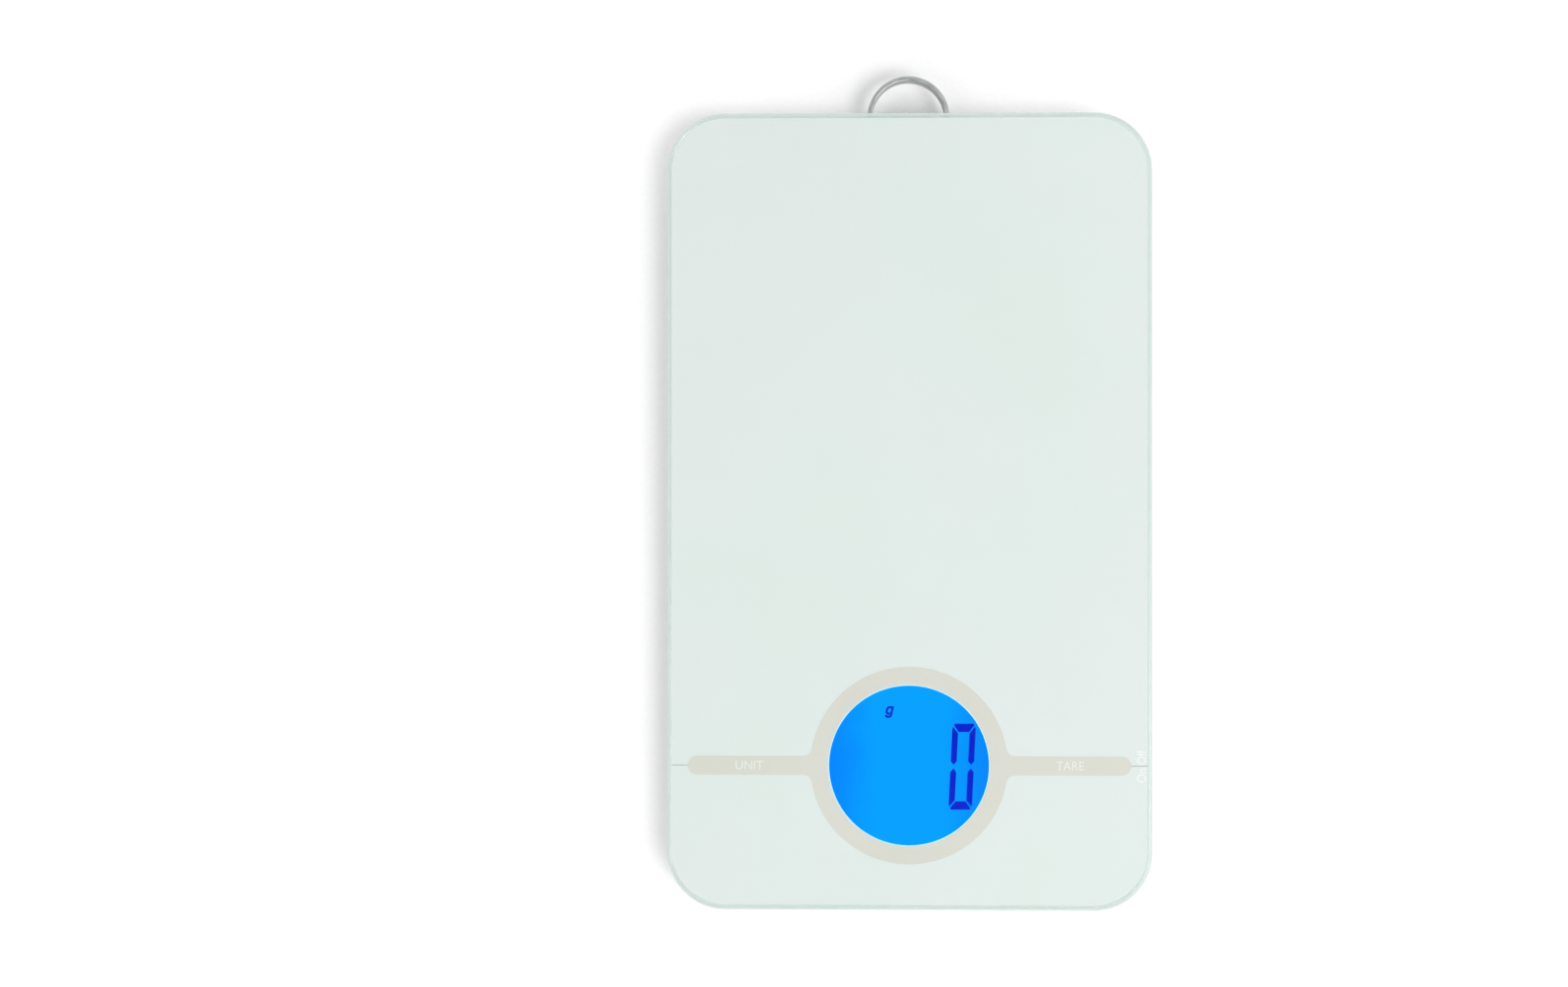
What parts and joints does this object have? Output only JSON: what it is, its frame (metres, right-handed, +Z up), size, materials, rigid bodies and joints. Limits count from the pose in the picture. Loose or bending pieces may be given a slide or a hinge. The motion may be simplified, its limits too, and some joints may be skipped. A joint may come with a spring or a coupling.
{
  "type": "kitchen scale",
  "caption": "Slim kitchen scale: glass weighing plate with a round lit display over a shallow tray on sprung weighing feet, with a rear hanging loop.",
  "frame": {"origin": "on the table, under the middle of the object's overall length and width, the loop included", "axes": "+X to the right of a person facing the display, +Y to the rear where the loop is, +Z up"},
  "size_m": [0.138, 0.2388, 0.0175],
  "materials": {
    "clear_glass": "polished tempered float glass, 5 mm",
    "white_print": "white screen print seen through the glass",
    "beige_print": "light beige screen print",
    "white_abs": "moulded, fine spark texture",
    "grey_abs": "moulded, fine spark texture",
    "black_foam": "acrylic foam tape",
    "foot_rubber": "soft matt rubber",
    "steel_strip": "stainless strip, brushed along its length",
    "cell_steel": "nickel-plated spring steel",
    "screw_steel": "zinc-plated",
    "contact_metal": "bronze spring strip",
    "coin_steel": "nickel-plated can",
    "circuit_board": "green solder mask on glass-epoxy",
    "chip_black": "moulded epoxy",
    "display_blue": "blue back-lit display cell",
    "guide_acrylic": "clear moulded acrylic",
    "mirror_film": "reflector film",
    "lamp_white": "moulded lamp body",
    "zebra_rubber": "layered conductive elastomer",
    "copper_film": "copper under polyimide",
    "gauge_coat": "silicone coat",
    "lead_white": "extruded PVC",
    "lead_red": "extruded PVC",
    "lead_black": "extruded PVC"
  },
  "bodies": {
    "case": {"glass_platform": "clear_glass", "back_print": "white_print", "ring_print": "beige_print", "mounting_tape": "black_foam", "base_tray": "white_abs", "retainer_screws": "screw_steel", "display_frame": "grey_abs", "lcd_panel": "display_blue", "light_guide": "guide_acrylic", "reflector_film": "mirror_film", "zebra_connector": "zebra_rubber", "backlight_leds": "lamp_white", "main_board": "circuit_board", "board_components": "chip_black", "board_screws": "screw_steel", "unit_touch_film": "copper_film", "unit_touch_contact": "contact_metal", "tare_touch_film": "copper_film", "tare_touch_contact": "contact_metal", "power_switch": "chip_black", "switch_board": "circuit_board", "coin_cell": "coin_steel", "battery_contact_positive": "contact_metal", "battery_contact_negative": "contact_metal", "loop_retainer": "grey_abs", "loop_screws": "screw_steel", "battery_lead_positive": "lead_red", "battery_lead_negative": "lead_black", "switch_lead": "lead_white", "load_cell_front_left": "cell_steel", "strain_gauge_front_left": "gauge_coat", "load_cell_retainer_front_left": "grey_abs", "sensor_lead_front_left": "lead_white", "load_cell_front_right": "cell_steel", "strain_gauge_front_right": "gauge_coat", "load_cell_retainer_front_right": "grey_abs", "sensor_lead_front_right": "lead_white", "load_cell_rear_left": "cell_steel", "strain_gauge_rear_left": "gauge_coat", "load_cell_retainer_rear_left": "grey_abs", "sensor_lead_rear_left": "lead_white", "load_cell_rear_right": "cell_steel", "strain_gauge_rear_right": "gauge_coat", "load_cell_retainer_rear_right": "grey_abs", "sensor_lead_rear_right": "lead_white"},
    "foot_front_left": {"foot_front_left": "grey_abs", "foot_pad_front_left": "foot_rubber"},
    "foot_front_right": {"foot_front_right": "grey_abs", "foot_pad_front_right": "foot_rubber"},
    "foot_rear_left": {"foot_rear_left": "grey_abs", "foot_pad_rear_left": "foot_rubber"},
    "foot_rear_right": {"foot_rear_right": "grey_abs", "foot_pad_rear_right": "foot_rubber"},
    "power_button": {"power_button": "white_abs", "switch_stem": "grey_abs"},
    "hanging_loop": {"hanging_loop": "steel_strip"},
    "battery_cover": {"battery_cover": "white_abs"}
  },
  "joints": [
    {"name": "foot_press_front_left", "type": "slide", "parent": "case", "child": "foot_front_left", "axis": [0, 0, 1], "range_m": [-0.00015, 0.0005], "deforming": ["load_cell_front_left"]},
    {"name": "foot_press_front_right", "type": "slide", "parent": "case", "child": "foot_front_right", "axis": [0, 0, 1], "range_m": [-0.00015, 0.0005], "deforming": ["load_cell_front_right"]},
    {"name": "foot_press_rear_left", "type": "slide", "parent": "case", "child": "foot_rear_left", "axis": [0, 0, 1], "range_m": [-0.00015, 0.0005], "deforming": ["load_cell_rear_left"]},
    {"name": "foot_press_rear_right", "type": "slide", "parent": "case", "child": "foot_rear_right", "axis": [0, 0, 1], "range_m": [-0.00015, 0.0005], "deforming": ["load_cell_rear_right"]},
    {"name": "power_button_press", "type": "slide", "parent": "case", "child": "power_button", "axis": [-1, 0, 0], "range_m": [0, 0.0005], "stiffness_N_per_m": 400},
    {"name": "hanging_loop_slide", "type": "slide", "parent": "case", "child": "hanging_loop", "axis": [0, 1, 0], "range_m": [-0.0105, 0]},
    {"name": "battery_cover_hinge", "type": "hinge", "parent": "case", "child": "battery_cover", "pos_m": [0, 0.01257, 0.0039], "axis": [1, 0, 0], "range_deg": [0, 70]}
  ]
}
